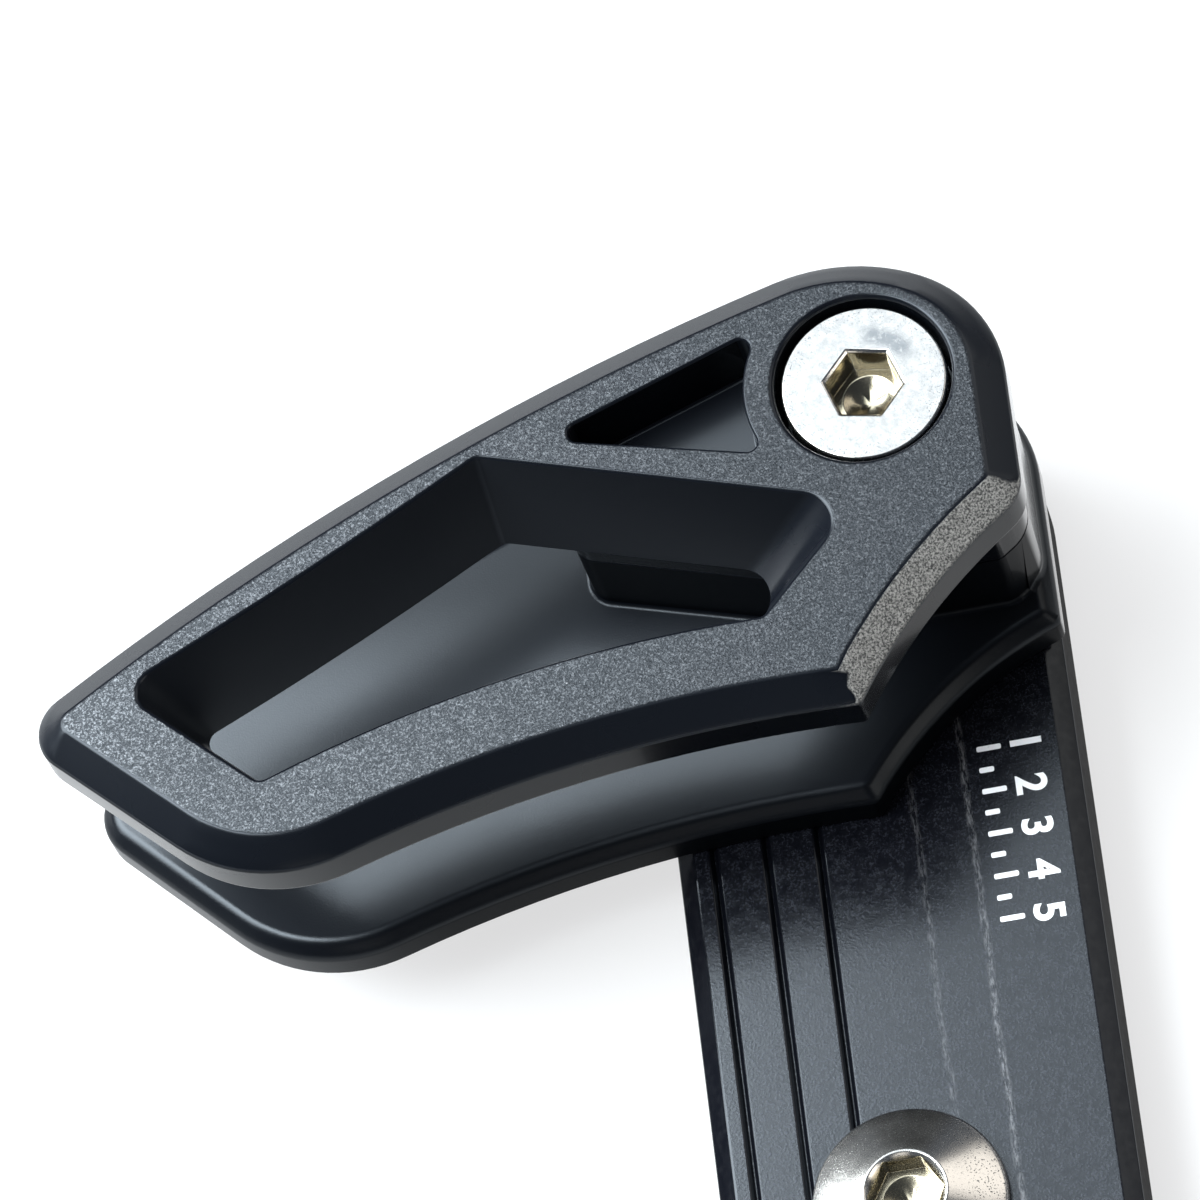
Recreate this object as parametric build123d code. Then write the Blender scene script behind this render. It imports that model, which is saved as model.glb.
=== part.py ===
from build123d import *
import os
from math import cos, pi, radians, sin, sqrt

# Bicycle chain guide, lying on its back, in millimetres.
# +Z is outboard along the bottom bracket's axis, +Y runs from that axis up the arm.
# The origin is the centre of the bracket's bore, on the bracket's back face.

# Chainrings that the guide can be set for
CHAIN_PITCH = 12.7
TEETH_MIN = 30
TEETH_MAX = 40
RIDE_HEIGHT = 15.3

# Stack, from the back of the arm outwards
ARM_THICK = 7.0
INNER_THICK = 3.2
CHAIN_GAP = 8.6
SEAM_HEIGHT = 6.0
OUTER_THICK = 6.5

# Where the two bolts stand
CHEEK_BOLT_X = 5.5
CLAMP_DROP = 45.0

# Cheek outline, measured from the cheek bolt
SIDE_X = 8.35
SIDE_Y = -0.4
SHOULDER = (4.2, 6.85)
CROWN = (-4.6, 8.13)
TIP = (-53.37, -12.5)
TIP_RADIUS = 2.6
TOE_X = -39.7
TOE_RADIUS = 10.0
INNER_TIP = (-53.2, -11.6)
INNER_TIP_RADIUS = 3.1
INNER_TOE_X = -39.4
LOWER_X = -8.0
LOWER_Y = -20.04
LOWER_RADIUS = 91.0
PANEL_REACH = 12.0

# Notches at the cheeks' lower right corners: distance and direction from the cheek bolt to the edge
NOTCH_REACH = 11.93
NOTCH_ANGLE = -54.1
NOTCH_RADIUS = 37.3
NOTCH_CORNER = 2.6
INNER_NOTCH_REACH = 13.0
INNER_NOTCH_ANGLE = -63.8
INNER_NOTCH_RADIUS = 26.0

# Edges of the cheeks
BEVEL_WIDTH = 1.85
BEVEL_DEPTH = 1.5
LEAD_IN = 2.3
INNER_EDGE = 0.9

# Window in the outer cheek, measured from the cheek bolt
WINDOW_LEFT = (-46.4, -11.5)
WINDOW_TOE = (-38.5, -19.0)
WINDOW_HEEL = (-7.6, -14.2)
WINDOW_NOSE = (-1.2, -7.7)
WINDOW_PEAK = (-23.5, -0.5)
WINDOW_LOWER_SAG = 1.45
WINDOW_UPPER_SAG = 0.25
WINDOW_CORNER = 0.8
WINDOW_LEFT_RADIUS = 1.45
WINDOW_NOSE_RADIUS = 2.0
WINDOW_UPPER_DRAFT = 2.7
WINDOW_LOWER_DRAFT = 1.4

# Triangular pocket in the outer cheek, measured from the cheek bolt
POCKET_LEFT_X = -19.3
POCKET_LEFT_Y = -0.2
POCKET_TOP_Y = 4.6
POCKET_LOW_Y = -3.9
POCKET_RIGHT_X = -5.4
POCKET_WALL = 1.85
POCKET_CORNER = 0.6
POCKET_DEPTH = 4.8

# Post between the cheeks, measured from the cheek bolt
POST_LEFT_X = -19.5
POST_LEFT_Y = -4.0
POST_KNEE_X = -3.5
POST_FOOT_Y = -9.0
POST_CORNER = 1.5
POST_INSET = 0.5
POST_NOTCH_STEP = 1.18

# Locating peg on the seam and the screw behind it, measured from the cheek bolt
PEG_X = -11.5
PEG_Y = 0.6
PEG_RADIUS = 2.2
PEG_HEIGHT = 2.2
PEG_GAP = 0.15

# Arm
ARM_LEFT_X = -16.9
ARM_INSET = 0.3
ARM_TAIL = 8.5
ARM_BEVEL = 1.1
ARM_BEVEL_DEPTH = 0.8
ARM_TAIL_RADIUS = 4.0
GROOVE_X = -14.6
GROOVE_PITCH = 3.2
GROOVE_COUNT = 3
GROOVE_WIDTH = 0.55
GROOVE_DEPTH = 0.5
GROOVE_END_Y = -6.0

# Bracket
BORE_RADIUS = 17.6
RING_WALL = 4.4
RING_THICK = 2.5
RING_EDGE = 0.4
FLANGE_ROOM = 1.2
TONGUE_WIDTH = 17.0
TONGUE_THICK = 4.4
TONGUE_CORNER = 2.0
TONGUE_ROOT = 2.2
TONGUE_GAP = 0.15
TONGUE_MARGIN = 1.2
SLOT_GAP = 0.25

# Clamp nut
NUT_WIDTH = 12.0
NUT_LENGTH = 14.0
NUT_THICK = 2.5
NUT_SINK = 0.2
NUT_CORNER = 1.0
COLLAR_WALL = 1.0
COLLAR_GAP = 0.2

# Fasteners
M6_RADIUS = 3.0
M4_RADIUS = 2.0
THREAD_GAP = 0.05
HOLE_GAP = 0.2
HEX_M6 = 4.0
HEX_M4 = 2.5
MOUTH_FOOT = 0.92
DRILL_SHARE = 0.8
DRILL_SLOPE = 0.47
CHEEK_HEAD_RADIUS = 5.0
CHEEK_HEAD_HEIGHT = 4.0
CHEEK_HEAD_EDGE = 0.12
CHEEK_HEX_DEPTH = 2.4
CHEEK_MOUTH = 4.4
CHEEK_HEX_TURN = -12.0
CHEEK_BOLT_END = 0.7
HEAD_SINK = 0.6
HEAD_ROOM = 0.35
HEAD_RIM = 0.35
CLAMP_HEAD_RADIUS = 5.88
CLAMP_RIM_HEIGHT = 0.7
CLAMP_CONE_HEIGHT = 1.9
CLAMP_CONE_RADIUS = 2.55
CLAMP_RIM_ROUND = 0.5
CLAMP_HEX_DEPTH = 1.9
CLAMP_MOUTH = 2.44
CLAMP_END = 0.6
SCREW_HEAD_RADIUS = 4.0
SCREW_HEX_DEPTH = 1.6
SCREW_MOUTH = 1.6
SCREW_SINK = 0.2
SCREW_SHORT = 0.8
INSERT_WALL = 0.8
INSERT_LENGTH = 6.0
INSERT_ROOM = 1.0

# Heights and places that follow from the sizes above
face_z = ARM_THICK + INNER_THICK + CHAIN_GAP + OUTER_THICK
inner_z = ARM_THICK + INNER_THICK
outer_z = inner_z + CHAIN_GAP
seam_z = inner_z + SEAM_HEIGHT
bevel_z = face_z - BEVEL_DEPTH
head_z = face_z - HEAD_SINK
seat_z = head_z - CHEEK_HEAD_HEIGHT
insert_z = ARM_THICK + INSERT_LENGTH
head_room = CHEEK_HEAD_RADIUS + HEAD_ROOM
ring_outer = BORE_RADIUS + RING_WALL
insert_radius = M4_RADIUS + INSERT_WALL
collar_radius = M6_RADIUS + COLLAR_WALL
channel_depth = NUT_THICK + NUT_SINK


def ring_radius(teeth):
    """Pitch radius of a chainring."""
    return CHAIN_PITCH / 2 / sin(pi / teeth)


reach_min = ring_radius(TEETH_MIN)
reach_max = ring_radius(TEETH_MAX)
half_travel = (reach_max - reach_min) / 2
bolt_y = (reach_max + reach_min) / 2 + RIDE_HEIGHT
clamp_y = bolt_y - CLAMP_DROP
arm_tail_y = clamp_y - ARM_TAIL
slot_low_y = clamp_y - half_travel
slot_high_y = clamp_y + half_travel
slot_radius = collar_radius + SLOT_GAP
tongue_top_y = slot_high_y + NUT_LENGTH / 2 + TONGUE_MARGIN
guide = Pos(CHEEK_BOLT_X, bolt_y, 0)


def lower_y(x):
    """Height of the cheeks' lower edge at x."""
    return LOWER_Y - LOWER_RADIUS + sqrt(LOWER_RADIUS**2 - (x - LOWER_X) ** 2)


def panel(left, right, low, high):
    """Flat rectangle between two x values and two y values."""
    return Pos((left + right) / 2, (low + high) / 2) * Rectangle(right - left, high - low)


def prism(sketch, low, high):
    """Solid of a flat sketch between two heights."""
    return extrude(Pos(0, 0, low) * sketch, high - low)


def disc(x, y, radius, low, high):
    """Upright cylinder between two heights."""
    return prism(Pos(x, y) * Circle(radius), low, high)


def hexagon(x, y, across, low, high):
    """Upright hexagonal prism with a size across its flats."""
    return prism(Pos(x, y) * RegularPolygon(across / 2, 6, major_radius=False), low, high)


def hex_hole(across, depth):
    """Plain hexagon socket that opens upwards at height 0, with a drill point below."""
    drill = DRILL_SHARE * across / 2
    point = Cone(0, drill, DRILL_SLOPE * drill, align=(Align.CENTER, Align.CENTER, Align.MAX))
    return hexagon(0, 0, across, -depth, 0) + Pos(0, 0, -depth) * point


def sunk_hex_hole(across, depth, mouth):
    """Hexagon socket with a round countersink at its mouth."""
    foot = MOUTH_FOOT * across / 2
    sink = Cone(foot, mouth, mouth - foot, align=(Align.CENTER, Align.CENTER, Align.MAX))
    return hex_hole(across, depth) + sink


def chamfered_hex_hole(across, depth, mouth):
    """Hexagon socket whose six upper edges are chamfered out to a wider hexagon."""
    small = RegularPolygon(across / 2, 6, major_radius=False)
    wide = RegularPolygon(mouth / 2, 6, major_radius=False)
    taper = loft([Pos(0, 0, (across - mouth) / 2) * small, wide])
    return hex_hole(across, depth) + taper


def nearest(sketch, x, y):
    """Corner of a sketch that is nearest to a point."""
    return sketch.vertices().sort_by_distance((x, y, 0))[0]


def lobe(tip, tip_radius, toe_x):
    """Outline of a cheek before the notch is cut, around the cheek bolt."""
    toe = (toe_x, lower_y(toe_x))
    heel = (SIDE_X, lower_y(SIDE_X))
    side = (SIDE_X, SIDE_Y)
    end = TangentArc(side, SHOULDER, tangent=(0, 1))
    crown = TangentArc(SHOULDER, CROWN, tangent=end % 1)
    upper = TangentArc(CROWN, tip, tangent=crown % 1)
    lower = ThreePointArc(toe, (LOWER_X, LOWER_Y), heel)
    sketch = make_face([end, crown, upper, Line(tip, toe), lower, Line(heel, side)])
    sketch = fillet(nearest(sketch, *tip), tip_radius)
    return fillet(nearest(sketch, *toe), TOE_RADIUS)


def outer_lobe():
    """Outline of the outer cheek before its notch is cut."""
    return lobe(TIP, TIP_RADIUS, TOE_X)


def inner_lobe():
    """Outline of the inner cheek before its notch is cut."""
    return lobe(INNER_TIP, INNER_TIP_RADIUS, INNER_TOE_X)


def round_cut(reach, angle, radius, grow):
    """Large circle whose edge passes the cheek bolt at a distance, in a direction."""
    away = reach + radius
    return Pos(away * cos(radians(angle)), away * sin(radians(angle))) * Circle(radius + grow)


def notch(grow=0.0):
    """Round cut at the outer cheek's lower right corner."""
    return round_cut(NOTCH_REACH, NOTCH_ANGLE, NOTCH_RADIUS, grow)


def inner_notch():
    """Shallower round cut at the inner cheek's lower right corner."""
    return round_cut(INNER_NOTCH_REACH, INNER_NOTCH_ANGLE, INNER_NOTCH_RADIUS, 0)


def post(outline):
    """Section of the post that spaces the cheeks, a little inside a cheek's outline."""
    section = make_face(
        Polyline(
            (POST_LEFT_X, PANEL_REACH),
            (POST_LEFT_X, POST_LEFT_Y),
            (POST_KNEE_X, POST_FOOT_Y),
            (PANEL_REACH, POST_FOOT_Y),
            (PANEL_REACH, PANEL_REACH),
            close=True,
        )
    )
    section = (section & offset(outline, -POST_INSET)) - notch(POST_NOTCH_STEP)
    section = fillet(nearest(section, SIDE_X, -SIDE_X), NOTCH_CORNER)
    return fillet(nearest(section, POST_LEFT_X, POST_LEFT_Y), POST_CORNER)


def inset_corner(before, corner, after, draft_before, draft_after):
    """Corner of a clockwise outline after its two sides move inwards by their own drafts."""
    arriving = (corner - before).normalized()
    leaving = (after - corner).normalized()
    turn = arriving.X * leaving.Y - arriving.Y * leaving.X
    return corner + (arriving * draft_after - leaving * draft_before) / turn


def window(deep):
    """Outline of the outer cheek's window, on its face or, drafted inwards, at its back."""
    ring = [Vector(*point) for point in (WINDOW_LEFT, WINDOW_PEAK, WINDOW_NOSE, WINDOW_HEEL, WINDOW_TOE)]
    upper = WINDOW_UPPER_DRAFT if deep else 0
    lower = WINDOW_LOWER_DRAFT if deep else 0
    drafts = [upper, upper, upper, lower, lower]
    corners = []
    for index, corner in enumerate(ring):
        after = ring[(index + 1) % len(ring)]
        corners.append(inset_corner(ring[index - 1], corner, after, drafts[index - 1], drafts[index]))
    left, peak, nose, heel, toe = corners
    outline = [
        SagittaArc(left, peak, -WINDOW_UPPER_SAG),
        Line(peak, nose),
        Line(nose, heel),
        SagittaArc(heel, toe, -WINDOW_LOWER_SAG),
        Line(toe, left),
    ]
    sketch = make_face(outline)
    sketch = fillet(nearest(sketch, nose.X, nose.Y), WINDOW_NOSE_RADIUS)
    sketch = fillet(nearest(sketch, left.X, left.Y), WINDOW_CORNER if deep else WINDOW_LEFT_RADIUS)
    for corner in (toe, heel, peak):
        sketch = fillet(nearest(sketch, corner.X, corner.Y), WINDOW_CORNER)
    return sketch


def pocket():
    """Outline of the blind triangular pocket, whose right side runs round the cheek bolt."""
    sketch = make_face(
        Polyline(
            (POCKET_LEFT_X, POCKET_LEFT_Y),
            (POCKET_RIGHT_X, POCKET_LOW_Y),
            (POCKET_RIGHT_X, POCKET_TOP_Y),
            close=True,
        )
    )
    sketch = sketch - Circle(head_room + POCKET_WALL)
    return fillet(sketch.vertices(), POCKET_CORNER)


def is_head_rim(edge):
    """True for the circle where the cheek bolt's counterbore meets the outer cheek's face."""
    if edge.geom_type != GeomType.CIRCLE or edge.center().Z < head_z:
        return False
    middle = edge.arc_center
    return abs(middle.X) + abs(middle.Y) < HEAD_ROOM and abs(edge.radius - head_room) < POCKET_WALL / 2


def outer_cheek():
    """Cheek on the outside of the chain, with the outer part of the post."""
    outline = outer_lobe() - notch()
    outline = fillet(nearest(outline, SIDE_X, -SIDE_X), NOTCH_CORNER)
    body = prism(outline, outer_z, face_z)
    top = body.faces().sort_by(Axis.Z)[-1]
    body = chamfer(top.outer_wire().edges(), BEVEL_WIDTH, BEVEL_DEPTH, reference=top)
    back = body.faces().sort_by(Axis.Z)[0]
    body = chamfer(back.outer_wire().edges(), LEAD_IN)
    body = body + prism(post(outer_lobe()), seam_z, bevel_z)
    opening = loft([Pos(0, 0, outer_z) * window(True), Pos(0, 0, face_z) * window(False)], ruled=True)
    body = body - opening
    body = body - prism(pocket(), face_z - POCKET_DEPTH, face_z)
    body = body - disc(0, 0, head_room, seat_z, face_z)
    body = fillet(body.edges().filter_by(is_head_rim), HEAD_RIM)
    body = body - disc(0, 0, M6_RADIUS + HOLE_GAP, seam_z, seat_z)
    body = body - disc(PEG_X, PEG_Y, PEG_RADIUS + PEG_GAP, seam_z, seam_z + PEG_HEIGHT + PEG_GAP)
    return guide * body


def inner_cheek():
    """Cheek on the frame's side of the chain, with the inner part of the post and the locating peg."""
    plate = prism(inner_lobe() - inner_notch(), ARM_THICK, inner_z)
    top = plate.faces().sort_by(Axis.Z)[-1]
    body = chamfer(top.outer_wire().edges(), INNER_EDGE)
    body = body + prism(post(inner_lobe()), ARM_THICK + INNER_EDGE, seam_z)
    body = body + disc(PEG_X, PEG_Y, PEG_RADIUS, seam_z, seam_z + PEG_HEIGHT)
    body = body - disc(0, 0, M6_RADIUS + HOLE_GAP, ARM_THICK, seam_z)
    body = body - disc(PEG_X, PEG_Y, insert_radius, ARM_THICK, insert_z + INSERT_ROOM)
    return guide * body


def cheek_bolt():
    """Low-head socket bolt through both cheeks into the arm."""
    head = disc(0, 0, CHEEK_HEAD_RADIUS, seat_z, head_z)
    head = chamfer(head.edges().group_by(Axis.Z)[-1], CHEEK_HEAD_EDGE)
    body = head + disc(0, 0, M6_RADIUS, CHEEK_BOLT_END, seat_z)
    hollow = chamfered_hex_hole(HEX_M6, CHEEK_HEX_DEPTH, CHEEK_MOUTH)
    return guide * (body - Pos(0, 0, head_z) * Rot(0, 0, CHEEK_HEX_TURN) * hollow)


def slide_arm():
    """Flat bar that carries the guide and rides on the bracket's tongue."""
    arm_left = CHEEK_BOLT_X + ARM_LEFT_X
    arm_right = CHEEK_BOLT_X + SIDE_X - ARM_INSET
    neck_y = bolt_y + POST_FOOT_Y
    crown = guide * offset(inner_lobe(), -ARM_INSET)
    plan = panel(arm_left, arm_right, neck_y, bolt_y + PANEL_REACH) & crown
    plan = plan + panel(arm_left, arm_right, arm_tail_y, neck_y)
    for x in (arm_left, arm_right):
        plan = fillet(nearest(plan, x, arm_tail_y), ARM_TAIL_RADIUS)
    body = prism(plan, 0, ARM_THICK)
    top = body.faces().sort_by(Axis.Z)[-1]
    body = chamfer(top.outer_wire().edges(), ARM_BEVEL, ARM_BEVEL_DEPTH, reference=top)
    groove = make_face(
        Polyline((-GROOVE_WIDTH / 2, 0), (GROOVE_WIDTH / 2, 0), (0, -GROOVE_DEPTH), close=True)
    )
    groove_run = bolt_y + GROOVE_END_Y - arm_tail_y
    for index in range(GROOVE_COUNT):
        x = CHEEK_BOLT_X + GROOVE_X + index * GROOVE_PITCH
        start = Plane((x, bolt_y + GROOVE_END_Y, ARM_THICK), x_dir=(1, 0, 0), z_dir=(0, -1, 0))
        body = body - extrude(start * groove, groove_run)
    channel_top_y = tongue_top_y + half_travel + TONGUE_MARGIN
    half_width = TONGUE_WIDTH / 2 + TONGUE_GAP
    channel = panel(-half_width, half_width, arm_tail_y, channel_top_y)
    body = body - prism(channel, 0, TONGUE_THICK)
    body = body - disc(0, clamp_y, M6_RADIUS + HOLE_GAP, TONGUE_THICK, ARM_THICK)
    body = body - guide * disc(0, 0, M6_RADIUS + THREAD_GAP, 0, ARM_THICK)
    sink = Cone(
        SCREW_HEAD_RADIUS + HOLE_GAP + SCREW_SINK,
        M4_RADIUS + HOLE_GAP,
        SCREW_HEAD_RADIUS + SCREW_SINK - M4_RADIUS,
        align=(Align.CENTER, Align.CENTER, Align.MIN),
    )
    screw_hole = disc(PEG_X, PEG_Y, M4_RADIUS + HOLE_GAP, 0, ARM_THICK) + Pos(PEG_X, PEG_Y, 0) * sink
    return body - guide * screw_hole


def clamp_bolt():
    """Conical-head socket bolt that clamps the arm to the tongue."""
    rim = disc(0, 0, CLAMP_HEAD_RADIUS, ARM_THICK, ARM_THICK + CLAMP_RIM_HEIGHT)
    cone = Pos(0, 0, ARM_THICK + CLAMP_RIM_HEIGHT) * Cone(
        CLAMP_HEAD_RADIUS,
        CLAMP_CONE_RADIUS,
        CLAMP_CONE_HEIGHT,
        align=(Align.CENTER, Align.CENTER, Align.MIN),
    )
    head = rim + cone
    head = fillet(head.edges().filter_by(GeomType.CIRCLE).sort_by(Axis.Z)[1], CLAMP_RIM_ROUND)
    shank = disc(0, 0, M6_RADIUS, CLAMP_END, ARM_THICK)
    crown_z = ARM_THICK + CLAMP_RIM_HEIGHT + CLAMP_CONE_HEIGHT
    body = head + shank - Pos(0, 0, crown_z) * sunk_hex_hole(HEX_M6, CLAMP_HEX_DEPTH, CLAMP_MOUTH)
    return Pos(0, clamp_y, 0) * body


def clamp_nut():
    """T-nut behind the tongue, with a round collar that runs in the slot."""
    collar_z = TONGUE_THICK - COLLAR_GAP
    plate = fillet(Rectangle(NUT_WIDTH, NUT_LENGTH).vertices(), NUT_CORNER)
    body = prism(plate, NUT_SINK, channel_depth)
    body = body + disc(0, 0, collar_radius, channel_depth, collar_z)
    body = body - disc(0, 0, M6_RADIUS + THREAD_GAP, NUT_SINK, collar_z)
    return Pos(0, clamp_y, 0) * body


def rear_screw():
    """Countersunk screw from the arm's back into the insert."""
    head = Pos(0, 0, SCREW_SINK) * Cone(
        SCREW_HEAD_RADIUS,
        M4_RADIUS,
        SCREW_HEAD_RADIUS - M4_RADIUS,
        align=(Align.CENTER, Align.CENTER, Align.MIN),
    )
    body = head + disc(0, 0, M4_RADIUS, SCREW_SINK, insert_z - SCREW_SHORT)
    hollow = sunk_hex_hole(HEX_M4, SCREW_HEX_DEPTH, SCREW_MOUTH)
    body = body - Pos(0, 0, SCREW_SINK) * Rot(180, 0, 0) * hollow
    return guide * Pos(PEG_X, PEG_Y, 0) * body


def rear_insert():
    """Threaded insert pressed into the inner cheek's post."""
    body = disc(0, 0, insert_radius, ARM_THICK, insert_z)
    body = body - disc(0, 0, M4_RADIUS + THREAD_GAP, ARM_THICK, insert_z)
    return guide * Pos(PEG_X, PEG_Y, 0) * body


def is_bore_mouth(edge):
    """True for the circle at the bore's outboard end."""
    if edge.geom_type != GeomType.CIRCLE or edge.center().Z < RING_THICK / 2:
        return False
    return abs(edge.radius - BORE_RADIUS) < RING_WALL / 2


def bb_bracket():
    """Ring under the bottom bracket cup, with the slotted tongue that the arm rides on."""
    side = TONGUE_WIDTH / 2
    tongue = panel(-side, side, 0, tongue_top_y)
    tongue = fillet(tongue.vertices().group_by(Axis.Y)[-1], TONGUE_CORNER)
    plan = Circle(ring_outer) + tongue
    root_y = sqrt(ring_outer**2 - side**2)
    for x in (-side, side):
        plan = fillet(nearest(plan, x, root_y), TONGUE_ROOT)
    body = prism(plan - Circle(BORE_RADIUS), 0, RING_THICK)
    body = chamfer(body.edges().filter_by(is_bore_mouth), RING_EDGE)
    body = body + prism(tongue - Circle(ring_outer + FLANGE_ROOM), 0, TONGUE_THICK)
    slot = Pos(0, clamp_y) * SlotCenterToCenter(slot_high_y - slot_low_y, 2 * slot_radius, rotation=90)
    half_width = NUT_WIDTH / 2 + SLOT_GAP
    channel = panel(-half_width, half_width, slot_low_y - NUT_LENGTH / 2 - SLOT_GAP, tongue_top_y)
    return body - prism(slot, 0, TONGUE_THICK) - prism(channel, 0, channel_depth)


PIECES = {
    "bb_bracket": bb_bracket,
    "slide_arm": slide_arm,
    "clamp_bolt": clamp_bolt,
    "clamp_nut": clamp_nut,
    "inner_cheek": inner_cheek,
    "outer_cheek": outer_cheek,
    "cheek_bolt": cheek_bolt,
    "rear_screw": rear_screw,
    "rear_insert": rear_insert,
}

os.makedirs("parts", exist_ok=True)
for name, make in PIECES.items():
    export_step(make(), f"parts/{name}.step")
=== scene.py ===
"""Looks of a bicycle chain guide: moulded cheeks, an anodised arm and its bolts on a pale floor.

All lengths are in metres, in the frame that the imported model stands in.
"""

import logging
import math
from contextlib import contextmanager
from dataclasses import dataclass
from enum import Enum
from typing import Any, Iterator, Optional, Union

import bpy
from mathutils import Matrix, Vector

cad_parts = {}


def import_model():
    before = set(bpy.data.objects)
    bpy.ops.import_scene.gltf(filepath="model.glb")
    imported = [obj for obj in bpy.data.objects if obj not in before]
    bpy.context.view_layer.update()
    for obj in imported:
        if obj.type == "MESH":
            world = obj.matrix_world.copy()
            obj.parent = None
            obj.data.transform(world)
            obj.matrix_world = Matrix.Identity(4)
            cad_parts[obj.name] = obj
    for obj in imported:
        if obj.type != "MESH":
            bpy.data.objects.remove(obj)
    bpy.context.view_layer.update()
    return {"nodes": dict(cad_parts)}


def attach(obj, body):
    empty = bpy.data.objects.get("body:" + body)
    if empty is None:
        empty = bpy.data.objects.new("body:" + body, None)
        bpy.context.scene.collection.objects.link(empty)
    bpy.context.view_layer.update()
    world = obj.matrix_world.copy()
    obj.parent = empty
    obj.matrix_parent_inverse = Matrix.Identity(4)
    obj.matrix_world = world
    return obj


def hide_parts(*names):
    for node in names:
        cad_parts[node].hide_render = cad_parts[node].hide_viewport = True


Colour = tuple[float, float, float]
Span = tuple[float, float]
Input = Union["Amount", bpy.types.NodeSocket, float, tuple]

LOG = logging.getLogger("chain_guide")
MM = 0.001
CHEEK_BOLT = Vector((5.5, 86.1414, 0.0)) * MM
COOL_BLACK = (0.86, 0.93, 1.0, 1.0)
# Colour of the dark diffuse layer: painted shade, and the dark pits of the grained face.
SHADE_AND_PIT_BLACK = (0.0012, 0.0016, 0.0023, 1.0)
NOISE_MIDDLE = 0.5
# A mask goes from 0 at a span's first value to 1 at its second, here over a part of the normal
FACES_DOWN: Span = (-0.25, -0.55)
FACES_RIGHT: Span = (0.30, 0.70)
FACES_LEFT: Span = (0.1, -0.1)


class Body(Enum):
    """The rigid bodies that pieces ride on."""

    BRACKET = "bracket"
    SLIDER = "slider"


class Slot(Enum):
    """The material slots' names."""

    ANODISED = "black_anodised"
    NYLON = "black_nylon"
    POLISHED = "polished_steel"
    PLAIN = "plain_steel"
    BLACK = "black_steel"
    BRASS = "brass"


@dataclass(frozen=True)
class Cloud:
    """A cloudy pattern: the size of its features, its octaves of finer ones and the strength of those."""

    size: float
    octaves: float = 2.0
    strength: float = 0.5


@dataclass(frozen=True)
class Specks:
    """Scattered dust.

    Places for a speck lie a pitch apart, and a share of them has one. The spread is a speck's radius, as a
    part of the pitch. The core is the part of that radius that it covers, and full the part of the specks
    that show fully.
    """

    pitch: float
    share: float
    spread: float
    core: float = 0.5
    full: float = 0.9


class Amount:
    """A number that varies over a surface; arithmetic on it adds Math nodes."""

    def __init__(self, sheet: "Sheet", socket: bpy.types.NodeSocket) -> None:
        """Wraps an output socket of a sheet's node."""
        self.sheet = sheet
        self.socket = socket

    def math(self, operation: str, *others: Input, first: bool = True) -> "Amount":
        """Adds one Math node.

        Args:
            operation: Name of the Math node's operation.
            others: The other operands.
            first: Whether this amount is the first operand.

        Returns:
            The node's result.
        """
        operands = (self, *others) if first else (*others, self)
        node = self.sheet.add("ShaderNodeMath", {"operation": operation}, dict(enumerate(operands)))
        return Amount(self.sheet, node.outputs[0])

    def __add__(self, other: Input) -> "Amount":
        """Returns self + other."""
        return self.math("ADD", other)

    __radd__ = __add__

    def __sub__(self, other: Input) -> "Amount":
        """Returns self - other."""
        return self.math("SUBTRACT", other)

    def __rsub__(self, other: Input) -> "Amount":
        """Returns other - self."""
        return self.math("SUBTRACT", other, first=False)

    def __mul__(self, other: Input) -> "Amount":
        """Returns self * other."""
        return self.math("MULTIPLY", other)

    __rmul__ = __mul__

    def __truediv__(self, other: Input) -> "Amount":
        """Returns self / other."""
        return self.math("DIVIDE", other)

    def __pow__(self, other: Input) -> "Amount":
        """Returns self to the power of other."""
        return self.math("POWER", other)

    def __abs__(self) -> "Amount":
        """Returns the size of self without its sign."""
        return self.math("ABSOLUTE")

    def rise(self, start: float, end: float) -> "Amount":
        """Makes a mask with a smooth step.

        Args:
            start: Value up to which the mask is 0.
            end: Value from which it is 1; it may lie below the start.

        Returns:
            The mask.
        """
        settings = {"interpolation_type": "SMOOTHSTEP"}
        values = {"Value": self, "From Min": start, "From Max": end}
        return Amount(self.sheet, self.sheet.add("ShaderNodeMapRange", settings, values).outputs["Result"])


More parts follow.
